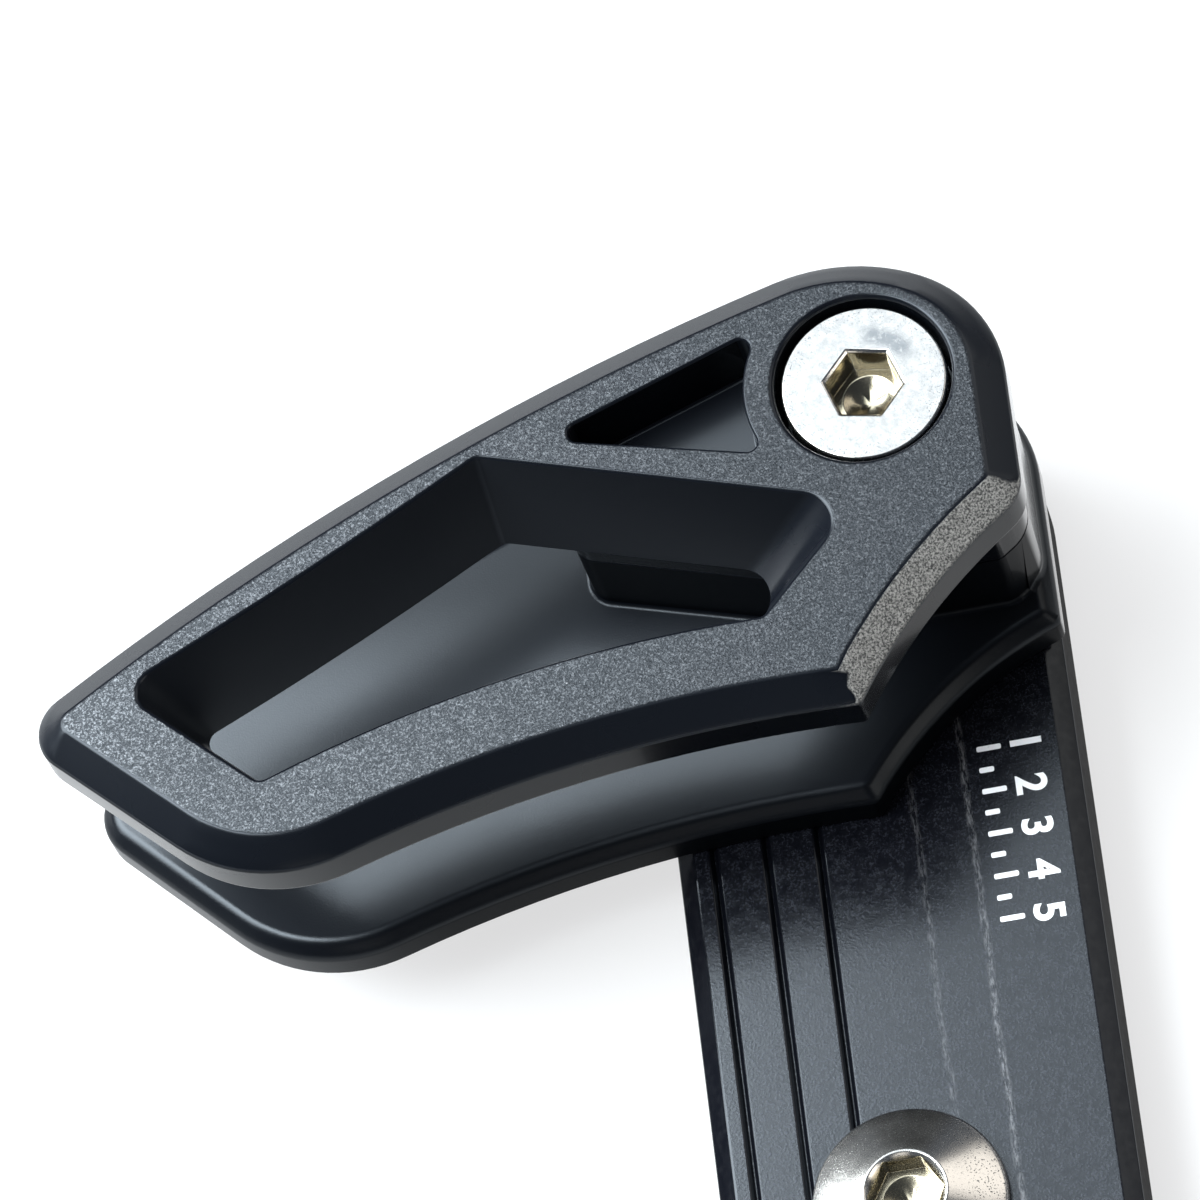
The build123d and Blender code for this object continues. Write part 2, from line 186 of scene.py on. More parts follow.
class Sheet:
    """The node tree of one material."""

    # Numbers of a colour Mix node's sockets
    MIX_FACTOR, MIX_LOW, MIX_HIGH, MIX_RESULT = 0, 6, 7, 2

    def __init__(self, name: str) -> None:
        """Makes an empty material.

        Args:
            name: The material's name.
        """
        self.material = bpy.data.materials.new(name)
        self.material.use_nodes = True
        self.tree = self.material.node_tree
        self.tree.nodes.clear()
        self.coordinates = self.add("ShaderNodeTexCoord").outputs

    def add(
        self, kind: str, settings: Optional[dict[str, Any]] = None, inputs: Optional[dict[Any, Input]] = None
    ) -> bpy.types.Node:
        """Adds any node.

        Args:
            kind: The node's type.
            settings: Its own properties, which are set first.
            inputs: Values or links of its sockets, by name or number.

        Returns:
            The node.
        """
        node = self.tree.nodes.new(kind)
        for name, value in (settings or {}).items():
            setattr(node, name, value)
        for name, value in (inputs or {}).items():
            if isinstance(value, Amount):
                value = value.socket
            if isinstance(value, bpy.types.NodeSocket):
                self.tree.links.new(value, node.inputs[name])
            else:
                node.inputs[name].default_value = value
        return node

    def place(self, axis: str) -> Amount:
        """Returns X, Y or Z of the surface's place."""
        return self._split("Object", axis)

    def normal(self, axis: str) -> Amount:
        """Returns X, Y or Z of the surface's normal."""
        return self._split("Normal", axis)

    def _split(self, source: str, axis: str) -> Amount:
        """Returns X, Y or Z of what the Texture Coordinate node gives under that name."""
        node = self.add("ShaderNodeSeparateXYZ", None, {0: self.coordinates[source]})
        return Amount(self, node.outputs[axis])

    def about(self, centre: Vector) -> tuple[Amount, Amount, Amount]:
        """Measures from an upright axis.

        Args:
            centre: A point of the axis.

        Returns:
            The offsets from it in X and in Y, and the distance from it.
        """
        across = self.place("X") - centre.x
        along = self.place("Y") - centre.y
        return across, along, (across * across + along * along) ** 0.5

    def stretched(self, scale: tuple[float, float, float]) -> bpy.types.NodeSocket:
        """Returns Object coordinates, scaled along each axis."""
        inputs = {"Vector": self.coordinates["Object"], "Scale": scale}
        return self.add("ShaderNodeMapping", None, inputs).outputs["Vector"]

    def noise(self, cloud: Cloud, place: Optional[bpy.types.NodeSocket] = None) -> Amount:
        """Makes a cloudy value from 0 to 1.

        Args:
            cloud: The pattern.
            place: Coordinates to read, or None for Object coordinates.

        Returns:
            The value.
        """
        inputs = {
            "Vector": place or self.coordinates["Object"],
            "Scale": 1.0 / cloud.size,
            "Detail": cloud.octaves,
            "Roughness": cloud.strength,
        }
        return Amount(self, self.add("ShaderNodeTexNoise", None, inputs).outputs[0])

    def rings(self, away: Amount, pitch: float) -> Amount:
        """Returns a value from 0 to 1 that changes with the distance from an axis, as turned metal does."""
        inputs = {"W": away / pitch, "Scale": 1.0, "Detail": 1.0}
        return Amount(self, self.add("ShaderNodeTexNoise", {"noise_dimensions": "1D"}, inputs).outputs[0])

    def cells(self, size: float) -> tuple[Amount, Amount]:
        """Scatters points over the surface.

        Args:
            size: Mean distance between them.

        Returns:
            The distance to the nearest point, as a part of that size, and the point's own number from 0 to 1.
        """
        inputs = {"Vector": self.coordinates["Object"], "Scale": 1.0 / size}
        node = self.add("ShaderNodeTexVoronoi", {"feature": "F1"}, inputs)
        return Amount(self, node.outputs["Distance"]), Amount(self, node.outputs["Color"])

    def specks(self, dust: Specks) -> Amount:
        """Makes a mask of dust.

        Args:
            dust: How the specks are scattered.

        Returns:
            The mask, 1 on a speck.
        """
        distance, number = self.cells(dust.pitch)
        chosen = number.rise(1.0 - dust.share, 1.0 - dust.full * dust.share)
        return distance.rise(dust.spread, dust.core * dust.spread) * chosen

    def mix(self, factor: Input, low: Input, high: Input) -> bpy.types.NodeSocket:
        """Mixes two colours.

        Args:
            factor: Share of the second colour.
            low: The first colour.
            high: The second colour.

        Returns:
            The mixed colour.
        """
        low, high = ((*c, 1.0) if isinstance(c, tuple) else c for c in (low, high))
        inputs = {self.MIX_FACTOR: factor, self.MIX_LOW: low, self.MIX_HIGH: high}
        return self.add("ShaderNodeMix", {"data_type": "RGBA"}, inputs).outputs[self.MIX_RESULT]

    def bump(self, height: Amount, depth: float) -> bpy.types.NodeSocket:
        """Returns a normal bent by a height from 0 to 1, which stands for a depth."""
        return self.add("ShaderNodeBump", None, {"Height": height, "Distance": depth}).outputs["Normal"]

    def surface(self, dim: Optional[Amount] = None, **sockets: Input) -> bpy.types.Material:
        """Ends the sheet with a Principled shader.

        Args:
            dim: Share of a dark diffuse layer to lay over it, which is painted shade, and on the grained face
                also the dark pits of its grain; or None for no such layer.
            sockets: The shader's sockets, with underscores for the spaces in their names.

        Returns:
            The material.
        """
        inputs = {name.replace("_", " "): value for name, value in sockets.items()}
        shader = self.add("ShaderNodeBsdfPrincipled", None, inputs)
        if dim is not None:
            # The dark diffuse layer paints shade; on the grained face it also darkens the grain's pits.
            shade_and_pit_layer = self.add("ShaderNodeBsdfDiffuse", None, {"Color": SHADE_AND_PIT_BLACK})
            layers = {0: dim, 1: shader.outputs[0], 2: shade_and_pit_layer.outputs[0]}
            shader = self.add("ShaderNodeMixShader", None, layers)
        self.add("ShaderNodeOutputMaterial", None, {"Surface": shader.outputs[0]})
        return self.material


@dataclass(frozen=True)
class GrainedNylon:
    """Black glass-filled nylon with a spark-eroded grain on the face and smooth moulded bevels. The grain's
    pale specks are partly painted glints, brighter towards the left end and the tip of the face.

    A span is where a mask comes in: by place where it is in millimetres, or else by a noise or the normal.
    """

    tone: Colour = (0.0036, 0.0045, 0.0068)
    # Pale tone of the grain's specks, which are partly painted glints.
    grain_and_glint_tone: Colour = (0.175, 0.183, 0.196)
    notch_dark: Colour = (0.030, 0.029, 0.028)
    notch_light: Colour = (0.27, 0.26, 0.245)
    dust_tone: Colour = (0.40, 0.40, 0.41)
    shine: float = 0.33
    grain: Cloud = Cloud(0.13 * MM, 2.0, 0.75)
    grain_cell: float = 0.169 * MM
    grain_depth: float = 0.034 * MM
    grain_worn: Span = (0.36, 0.66)
    pits: Cloud = Cloud(0.104 * MM, 2.0, 0.7)
    pit_rise: Span = (0.52, 0.34)
    clouds: Cloud = Cloud(9 * MM, 3.0)
    dust: Specks = Specks(2.0 * MM, 0.14, 0.05)
    sparkle: Span = (0.44, 0.70)
    sparkle_uneven: float = 0.75
    # Painted glints: the specks' share grows towards the left end and the tip.
    grain_and_glint: float = 0.55
    painted_glint_left: float = 0.45
    painted_glint_left_x: Span = (8 * MM, -38 * MM)
    painted_glint_tip: float = 1.2
    painted_glint_tip_x: Span = (-36 * MM, -50 * MM)
    grain_roughness: float = 0.42
    sparkle_gloss: float = 0.10
    smooth_roughness: float = 0.23
    cloud_roughness: float = 0.08
    draft_roughness: float = 0.24
    coat: float = 0.22
    coat_right: float = 0.6
    coat_roughness: float = 0.10
    # Painted shade: shares of the dark layer on walls and bevels that face down and on the face towards its
    # right end.
    wall_shade: float = 0.62
    wall_shade_x: Span = (-48 * MM, -24 * MM)
    bevel_shade: float = 0.38
    face_dim: float = 0.10
    face_shade_x: Span = (-35 * MM, 5 * MM)
    pit_dim: float = 0.55
    flat: Span = (0.93, 0.985)
    bevel: Span = (0.60, 0.70)
    upright: Span = (0.16, 0.08)
    draft_steepest: Span = (0.10, 0.18)
    draft_flattest: Span = (0.55, 0.45)
    face_z: float = 25.3 * MM
    face_skin: Span = (0.5 * MM, 0.2 * MM)
    notch_place: Vector = CHEEK_BOLT + Vector((28.87, -39.88, 0.0)) * MM
    notch_edge: float = 39.15 * MM
    notch_fade: Span = (0.3 * MM, 0.1 * MM)
    notch_foot_z: Span = (23.6 * MM, 23.9 * MM)
    notch_lean: Span = (-0.46, -0.55)
    notch_slope: Span = (0.15, 0.30)

    def material(self) -> bpy.types.Material:
        """Makes the grained nylon.

        Returns:
            The material.
        """
        sheet = Sheet("grained_nylon")
        face, notch = self._face(sheet), self._notch(sheet)
        grained = face.math("MAXIMUM", notch)
        drafted = self._drafted(sheet)
        upright = abs(sheet.normal("Z")).rise(*self.upright)
        right = sheet.normal("X").rise(*FACES_RIGHT)
        fine = sheet.noise(self.grain)
        sparkle = self._sparkle(sheet, fine)
        # The pale specks on the face are partly painted glints.
        plain = sheet.mix(sparkle * face, self.tone, self.grain_and_glint_tone)
        worn = sheet.mix(fine.rise(*self.grain_worn), self.notch_dark, self.notch_light)
        clean = sheet.mix(notch, plain, worn)
        smooth = self.smooth_roughness + self.cloud_roughness * sheet.noise(self.clouds)
        smooth = smooth + self.draft_roughness * drafted
        rough = self.grain_roughness - self.sparkle_gloss * sparkle
        return sheet.surface(
            # dim is painted shade, with the grain's dark pits.
            dim=self._dim(sheet, face, notch, upright, drafted),
            Base_Color=sheet.mix(sheet.specks(self.dust), clean, self.dust_tone),
            Roughness=smooth + grained * (rough - smooth),
            Specular_IOR_Level=self.shine,
            Specular_Tint=COOL_BLACK,
            Coat_Weight=upright * (self.coat + self.coat_right * right),
            Coat_Roughness=self.coat_roughness,
            Normal=sheet.bump(fine * grained, self.grain_depth),
        )

    def _face(self, sheet: Sheet) -> Amount:
        """Returns a mask of the flat face."""
        start, end = (self.face_z - depth for depth in self.face_skin)
        return sheet.normal("Z").rise(*self.flat) * sheet.place("Z").rise(start, end)

    def _notch(self, sheet: Sheet) -> Amount:
        """Makes a mask of the notch's bevel, the surface that leans towards the notch's middle.

        Args:
            sheet: The material's sheet.

        Returns:
            The mask.
        """
        across, along, away = sheet.about(self.notch_place)
        towards = (sheet.normal("X") * across + sheet.normal("Y") * along) / away
        leaning = towards.rise(*self.notch_lean) * sheet.normal("Z").rise(*self.notch_slope)
        start, end = (self.notch_edge + fade for fade in self.notch_fade)
        return leaning * away.rise(start, end) * sheet.place("Z").rise(*self.notch_foot_z)

    def _drafted(self, sheet: Sheet) -> Amount:
        """Returns a mask of the walls with a draft, by their slope."""
        lean = sheet.normal("Z")
        return lean.rise(*self.draft_steepest) * lean.rise(*self.draft_flattest)

    def _sparkle(self, sheet: Sheet, fine: Amount) -> Amount:
        """Makes the pale specks of the grain, partly the grain's own tone and partly painted glints, brighter
        towards the left end and strongest at the guide's tip.

        Args:
            sheet: The material's sheet.
            fine: The grain.

        Returns:
            The sparkle's share of the colour.
        """
        place = sheet.place("X")
        # Painted glints: brighter towards the left end and the tip.
        grain_and_glint = self.grain_and_glint + self.painted_glint_left * place.rise(*self.painted_glint_left_x)
        grain_and_glint = grain_and_glint + self.painted_glint_tip * place.rise(*self.painted_glint_tip_x)
        number = sheet.cells(self.grain_cell)[1]
        uneven = (1.0 - self.sparkle_uneven) + self.sparkle_uneven * number
        return fine.rise(*self.sparkle) * uneven * grain_and_glint

    def _dim(self, sheet: Sheet, face: Amount, notch: Amount, upright: Amount, drafted: Amount) -> Amount:
        """Makes the dark layer's share: painted shade on walls and bevels that face down, more on walls
        towards the right end, and on the face towards its right end, and the dark pits of the face's grain.

        Args:
            sheet: The material's sheet.
            face: Mask of the flat face.
            notch: Mask of the notch's bevel.
            upright: Mask of the upright walls.
            drafted: Mask of the walls with a draft.

        Returns:
            The share.
        """
        place = sheet.place("X")
        # Painted shade on what faces down and on the face's right end; the pits are the grain's own dark
        # spots.
        below = sheet.normal("Y").rise(*FACES_DOWN)
        slanted = sheet.normal("Z").rise(*self.bevel) + drafted * sheet.normal("X").rise(*FACES_LEFT)
        wall_shade = self.wall_shade * upright * place.rise(*self.wall_shade_x)
        bevel_shade = self.bevel_shade * slanted * (1.0 - notch)
        pit_dim = self.pit_dim * sheet.noise(self.pits).rise(*self.pit_rise)
        face_dim = self.face_dim * place.rise(*self.face_shade_x) + pit_dim
        return below * (wall_shade + bevel_shade) + face * face_dim


@dataclass(frozen=True)
class SatinNylon:
    """Black nylon from a smooth part of the mould, with a dark layer of painted shade on its rims, on walls
    that face down and on the upper part of its face.
    """

    tone: Colour = (0.0036, 0.0045, 0.0068)
    dust_tone: Colour = (0.25, 0.25, 0.26)
    shine: float = 0.40
    fine: Cloud = Cloud(0.12 * MM)
    fine_depth: float = 0.006 * MM
    clouds: Cloud = Cloud(7 * MM, 3.0)
    dust: Specks = Specks(3.0 * MM, 0.08, 0.04)
    roughness: float = 0.265
    cloud_roughness: float = 0.07
    fine_roughness: float = 0.04
    wall_roughness: float = 0.05
    coat_right: float = 0.8
    coat_roughness: float = 0.12
    # Painted shade: shares of the dark layer on walls that face down, on rims and on the face's upper part.
    wall_shade: float = 0.78
    wall_shade_x: Span = (-46 * MM, -24 * MM)
    rim_shade: float = 0.45
    upper_shade: float = 0.55
    upper_y: Span = (78 * MM, 85 * MM)
    wall: Span = (0.35, 0.15)
    rim: Span = (0.97, 0.85)
    flat: Span = (0.85, 0.97)

    def material(self) -> bpy.types.Material:
        """Makes the satin nylon.

        Returns:
            The material.
        """
        sheet = Sheet("satin_nylon")
        fine = sheet.noise(self.fine)
        lean = sheet.normal("Z")
        wall = lean.rise(*self.wall)
        right = sheet.normal("X").rise(*FACES_RIGHT)
        # Painted shade: walls that face down, more towards the right, rims and the upper part of the face get
        # the dark layer.
        below = sheet.normal("Y").rise(*FACES_DOWN) * sheet.place("X").rise(*self.wall_shade_x)
        upper = lean.rise(*self.flat) * sheet.place("Y").rise(*self.upper_y)
        level_shade = self.rim_shade * lean.rise(*self.rim) + self.upper_shade * upper
        rough = self.roughness + self.cloud_roughness * sheet.noise(self.clouds)
        return sheet.surface(
            dim=self.wall_shade * wall * below + (1.0 - wall) * level_shade,
            Base_Color=sheet.mix(sheet.specks(self.dust), self.tone, self.dust_tone),
            Roughness=rough + self.fine_roughness * fine + self.wall_roughness * wall,
            Specular_IOR_Level=self.shine,
            Specular_Tint=COOL_BLACK,
            Coat_Weight=self.coat_right * right * wall,
            Coat_Roughness=self.coat_roughness,
            Normal=sheet.bump(fine, self.fine_depth),
        )


@dataclass(frozen=True)
class BlackAnodised:
    """Bead-blasted aluminium, anodised black, with long scuffs on its upper face and painted shade on its
    upright walls.

    Each scuff has its distance from the cheek bolt's axis in X, and its strength.
    """

    tone: Colour = (0.0026, 0.0029, 0.0046)
    blast_tone: Colour = (0.015, 0.016, 0.022)
    scuff_tone: Colour = (0.24, 0.24, 0.25)
    shine: float = 0.33
    blast: Cloud = Cloud(0.15 * MM, 2.0, 0.65)
    blast_depth: float = 0.010 * MM
    blast_pale: Span = (0.40, 0.72)
    mottle: Cloud = Cloud(0.6 * MM, 5.0, 0.7)
    mottle_pale: Span = (0.25, 0.70)
    roughness: float = 0.22
    mottle_roughness: float = 0.40
    blast_gloss: float = 0.10
    slope_gloss: float = 0.05
    # Painted shade on the upright walls.
    wall_shade: float = 0.88
    upper: Span = (0.95, 0.99)
    slope: Span = (0.95, 0.80)
    upright: Span = (0.30, 0.15)
    scuffs: tuple[tuple[float, float], ...] = ((-2.3 * MM, 0.28), (1.05 * MM, 0.55))
    scuff_width: float = 0.34 * MM
    scuff_core: float = 0.034 * MM
    scuff_wander: float = 0.45 * MM
    scuff_bends: Cloud = Cloud(6 * MM, 1.0)
    scuff_breaks: Cloud = Cloud(0.20 * MM, 4.0, 0.75)
    scuff_whole: Span = (0.42, 0.70)
    scuff_stretch: tuple[float, float, float] = (1.0, 0.22, 1.0)

    def material(self) -> bpy.types.Material:
        """Makes the anodised aluminium.

        Returns:
            The material.
        """
        sheet = Sheet("black_anodised")
        lean = sheet.normal("Z")
        upper = lean.rise(*self.upper)
        blast, mottle = sheet.noise(self.blast), sheet.noise(self.mottle)
        pale = blast.rise(*self.blast_pale) * mottle.rise(*self.mottle_pale) * upper
        clean = sheet.mix(pale, self.tone, self.blast_tone)
        rough = self.roughness + self.mottle_roughness * (mottle - NOISE_MIDDLE)
        gloss = self.blast_gloss * (blast - NOISE_MIDDLE) + self.slope_gloss * lean.rise(*self.slope)
        return sheet.surface(
            # Painted shade: a dark layer on the upright walls.
            dim=self.wall_shade * abs(lean).rise(*self.upright),
            Base_Color=sheet.mix(self._scuffed(sheet) * upper, clean, self.scuff_tone),
            Roughness=rough - gloss,
            Specular_IOR_Level=self.shine,
            Specular_Tint=COOL_BLACK,
            Normal=sheet.bump(blast * upper, self.blast_depth),
        )

    def _scuffed(self, sheet: Sheet) -> Amount:
        """Makes a mask of the lengthwise scuffs.

        Args:
            sheet: The material's sheet.

        Returns:
            The mask, with each scuff at its own strength.
        """
        wander = (sheet.noise(self.scuff_bends) - NOISE_MIDDLE) * self.scuff_wander
        breaks = sheet.noise(self.scuff_breaks, sheet.stretched(self.scuff_stretch))
        total: Union[Amount, float] = 0.0
        for offset, strength in self.scuffs:
            off = abs(sheet.place("X") - (CHEEK_BOLT.x + offset) + wander)
            total = off.rise(self.scuff_width, self.scuff_core) * strength + total
        return total * breaks.rise(*self.scuff_whole)


@dataclass(frozen=True)
class BareMetal:
    """Bare or plated metal, turned about an upright axis, with pits, a darker patch, a golden-brown socket
    darkened as painted shade, and flat faces in a streaked grey of their own that is painted shade on the
    bright steel.
    """

    name: str
    tone: Colour
    worn_tone: Colour
    roughness: float
    axis: Vector
    # Flat faces take this streaked grey in place of each metal's tone, which is painted shade on the bright
    # steel's flat tops.
    flat_dark: Colour = (0.235, 0.236, 0.236)
    flat_light: Colour = (0.315, 0.312, 0.306)
    # Golden-brown tone inside the socket, partly painted shade of the recess.
    socket_tint_and_shade: Colour = (0.40, 0.36, 0.27)
    brushed_flat_shade: Cloud = Cloud(0.5 * MM, 4.0, 0.65)
    brushed_pale: Span = (0.3, 0.7)
    clouds: Cloud = Cloud(1.6 * MM, 4.0, 0.6)
    cloud_roughness: float = 0.08
    wear_roughness: float = 0.12
    pits: Cloud = Cloud(0.11 * MM, 1.0)
    pit_rise: Span = (0.60, 0.70)
    pit_rim: Span = (3.2 * MM, 4.7 * MM)
    pit_least: float = 0.35
    pit_height: float = 0.6
    patch: Cloud = Cloud(0.45 * MM, 3.0, 0.7)
    patch_rise: Span = (0.20, 0.52)
    patch_radius: float = 3.1 * MM
    patch_wide: float = 0.9 * MM
    patch_core: float = 0.2
    patch_angle: float = 0.95
    patch_turn: Span = (0.75, 0.3)
    ring_pitch: float = 0.05 * MM
    ring_height: float = 0.4
    relief: float = 0.004 * MM
    socket_radius: Span = (2.35 * MM, 2.2 * MM)
    socket_depth: Span = (0.05 * MM, 0.3 * MM)
    flat: Span = (0.93, 0.98)

    def material(self) -> bpy.types.Material:
        """Makes the metal.

        Returns:
            The material.
        """
        sheet = Sheet(self.name)
        across, along, away = sheet.about(self.axis)
        # A darker patch in a ring about the axis, to one side.
        ring = abs(away - self.patch_radius).rise(self.patch_wide, self.patch_core * self.patch_wide)
        turn = abs(along.math("ARCTAN2", across) - self.patch_angle).rise(*self.patch_turn)
        patch = ring * turn * sheet.noise(self.patch).rise(*self.patch_rise)
        rim = self.pit_least + (1.0 - self.pit_least) * away.rise(*self.pit_rim)
        pits = sheet.noise(self.pits).rise(*self.pit_rise) * rim
        wear = patch.math("MAXIMUM", pits)
        # Painted shade: the socket's inside gets a darker golden-brown tone.
        start, end = (self.axis.z - depth for depth in self.socket_depth)
        socket = away.rise(*self.socket_radius) * sheet.place("Z").rise(start, end)
        # Painted shade: flat faces get their own streaked grey in place of the metal's tone, darkening the
        # bright steel's flat tops.
        pale = sheet.noise(self.brushed_flat_shade).rise(*self.brushed_pale)
        brushed_flat_shade = sheet.mix(pale, self.flat_dark, self.flat_light)
        clean = sheet.mix(sheet.normal("Z").rise(*self.flat), self.tone, brushed_flat_shade)
        clouds = sheet.noise(self.clouds) - NOISE_MIDDLE
        height = self.ring_height * sheet.rings(away, self.ring_pitch) - self.pit_height * pits
        return sheet.surface(
            Base_Color=sheet.mix(wear, sheet.mix(socket, clean, self.socket_tint_and_shade), self.worn_tone),
            Metallic=1.0,
            Roughness=self.roughness + self.cloud_roughness * clouds + self.wear_roughness * wear,
            Normal=sheet.bump(height, self.relief),
        )


@dataclass(frozen=True)
class WhiteInk:
    """Pad-printed white ink, a little worn."""

    tone: Colour = (0.86, 0.86, 0.88)
    worn_tone: Colour = (0.4, 0.4, 0.42)
    wear: Cloud = Cloud(0.35 * MM, 3.0, 0.7)
    wear_rise: Span = (0.62, 0.75)
    wear_share: float = 0.35
    roughness: float = 0.55
    wear_roughness: float = 0.2

    def material(self) -> bpy.types.Material:
        """Makes the ink.

        Returns:
            The material.
        """
        sheet = Sheet("white_ink")
        worn = sheet.noise(self.wear).rise(*self.wear_rise)
        return sheet.surface(
            Base_Color=sheet.mix(worn * self.wear_share, self.tone, self.worn_tone),
            Roughness=self.roughness + self.wear_roughness * worn,
        )


@dataclass(frozen=True)
class PaleFloor:
    """White back-lit table top, so that shadows on it stay pale."""

    tone: Colour = (0.24, 0.24, 0.24)
    cloud_tone: Colour = (0.2328, 0.2328, 0.2328)
    glow_tone: Colour = (1.0, 1.0, 1.0)
    glow_cloud_tone: Colour = (0.98, 0.98, 0.99)
    glow: float = 0.70
    clouds: Cloud = Cloud(60 * MM, 3.0)
    roughness: float = 0.65
    shine: float = 0.2

    def material(self) -> bpy.types.Material:
        """Makes the floor's surface.

        Returns:
            The material.
        """
        sheet = Sheet("pale_floor")
        clouds = sheet.noise(self.clouds)
        return sheet.surface(
            Base_Color=sheet.mix(clouds, self.tone, self.cloud_tone),
            Roughness=self.roughness,
            Specular_IOR_Level=self.shine,
            Emission_Color=sheet.mix(clouds, self.glow_tone, self.glow_cloud_tone),
            Emission_Strength=self.glow,
        )


class Bench:
    """Modelling steps shared by the sub-assemblies."""

    MERGE = 0.0005 * MM
    FLAT_ANGLE = math.radians(0.03)
    SEAM_SLACK = 0.02 * MM
    ROUND_FACES = 3
    ROUND_ANGLE = 24.0

    @staticmethod
    def clear() -> None:
        """Deselects every object."""
        bpy.ops.object.select_all(action="DESELECT")

    @classmethod
    def activate(cls, piece: bpy.types.Object) -> None:
        """Selects one object alone and makes it active.

        Args:
            piece: The object.
        """
        cls.clear()
        piece.select_set(True)
        bpy.context.view_layer.objects.active = piece

    @classmethod
    @contextmanager
    def editing(cls, piece: bpy.types.Object, mode: str = "FACE") -> Iterator[None]:
        """Holds one object in edit mode, with nothing of it selected at first.

        Args:
            piece: The object.
            mode: What is selected in it, faces or edges.

        Yields:
            Nothing, while the object is in edit mode.
        """
        cls.activate(piece)
        bpy.ops.object.mode_set(mode="EDIT")
        bpy.ops.mesh.select_mode(type=mode)
        bpy.ops.mesh.select_all(action="DESELECT")
        yield
        bpy.ops.object.mode_set(mode="OBJECT")

    @classmethod
    def copy_of(cls, node: bpy.types.Object, name: str, even: bool = False) -> bpy.types.Object:
        """Copies a solid's mesh to a new object, with its doubles merged and its flat faces made whole.

        Args:
            node: The solid's object.
            name: Name of the new object.
            even: Whether the triangles of flat faces are evened out before they are joined.

        Returns:
            The new object.
        """
        piece = bpy.data.objects.new(name, node.data.copy())
        piece.data.name = name
        piece.data.materials.clear()
        bpy.context.scene.collection.objects.link(piece)
        with cls.editing(piece):
            bpy.ops.mesh.select_all(action="SELECT")
            bpy.ops.mesh.customdata_custom_splitnormals_clear()
            bpy.ops.mesh.remove_doubles(threshold=cls.MERGE)
            if even:
                bpy.ops.mesh.beautify_fill(angle_limit=cls.FLAT_ANGLE)
            bpy.ops.mesh.dissolve_limited(angle_limit=cls.FLAT_ANGLE)
        return piece

    @classmethod
    def apply(cls, piece: bpy.types.Object, kind: str, **settings: Any) -> None:
        """Adds a modifier and applies it.

        Args:
            piece: The object.
            kind: The modifier's type.
            settings: The modifier's own properties.
        """
        cls.activate(piece)
        modifier = piece.modifiers.new(kind.lower(), kind)
        for name, value in settings.items():
            setattr(modifier, name, value)
        bpy.ops.object.modifier_apply(modifier=modifier.name)

    @classmethod
    def mark(cls, piece: bpy.types.Object, angle: float, seam_z: Optional[float]) -> None:
        """Marks the edges to round: those sharper than the angle, but for any that lie on a seam.

        Args:
            piece: The object.
            angle: Least angle of an edge to mark, in degrees.
            seam_z: Height of a flat seam, or None for no seam.
        """
        with cls.editing(piece, "EDGE"):
            bpy.ops.mesh.edges_select_sharp(sharpness=math.radians(angle))
        mesh = piece.data
        weights = mesh.attributes.new("bevel_weight_edge", "FLOAT", "EDGE")
        for edge in mesh.edges:
            heights = [mesh.vertices[v].co.z for v in edge.vertices]
            seam = seam_z is not None and all(abs(z - seam_z) < cls.SEAM_SLACK for z in heights)
            weights.data[edge.index].value = float(edge.select and not seam)

    @classmethod
    def soften(
        cls, piece: bpy.types.Object, width: float, angle: float = ROUND_ANGLE, seam_z: Optional[float] = None
    ) -> None:
        """Rounds a piece's sharp edges and smooths its shading.

        Args:
            piece: The object.
            width: Width of the rounding.
            angle: Edges sharper than this, in degrees, are rounded.
            seam_z: Height of a flat seam whose edges stay sharp, or None.
        """
        cls.mark(piece, angle, seam_z)
        cls.apply(
            piece, "BEVEL", width=width, segments=cls.ROUND_FACES, limit_method="WEIGHT",
            use_clamp_overlap=False, miter_outer="MITER_ARC",
        )
        cls.activate(piece)
        bpy.ops.object.shade_smooth_by_angle(angle=math.radians(angle))
        cls.apply(piece, "WEIGHTED_NORMAL", keep_sharp=True)

    @staticmethod
    def dress(piece: bpy.types.Object, material: bpy.types.Material) -> None:
        """Gives a piece its only material."""
        piece.data.materials.clear()
        piece.data.materials.append(material)

    @staticmethod
    def settle(piece: bpy.types.Object, body: Body, slot: Slot, *nodes: str) -> None:
        """Rides a piece on its body and reports it.

        Args:
            piece: The object.
            body: Body that it moves with.
            slot: Its material slot; not used.
            nodes: Names of the solids that it stands for.
        """
        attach(piece, body.value)
        if nodes:
            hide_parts(*nodes)
        LOG.info("%s rides on %s with %d faces", piece.name, body.value, len(piece.data.polygons))


@dataclass
class CheekPair:
    """The two moulded cheeks that keep the chain on."""

    nodes: dict[str, bpy.types.Object]
    outer_edge: float = 0.22 * MM
    inner_edge: float = 0.34 * MM
    edge_angle: float = 36.0
    outer_finish: GrainedNylon = GrainedNylon()
    inner_finish: SatinNylon = SatinNylon()

    def build(self) -> None:
        """Models both cheeks; the inner one's edges stay sharp where the outer one's back rests on it."""
        outer = Bench.copy_of(self.nodes["outer_cheek"], "outer_cheek_moulding", even=True)
        back_z = min(vertex.co.z for vertex in outer.data.vertices)
        Bench.soften(outer, self.outer_edge, self.edge_angle)
        Bench.dress(outer, self.outer_finish.material())
        Bench.settle(outer, Body.SLIDER, Slot.NYLON, "outer_cheek")
        inner = Bench.copy_of(self.nodes["inner_cheek"], "inner_cheek_moulding")
        Bench.soften(inner, self.inner_edge, self.edge_angle, back_z)
        Bench.dress(inner, self.inner_finish.material())
        Bench.settle(inner, Body.SLIDER, Slot.NYLON, "inner_cheek")


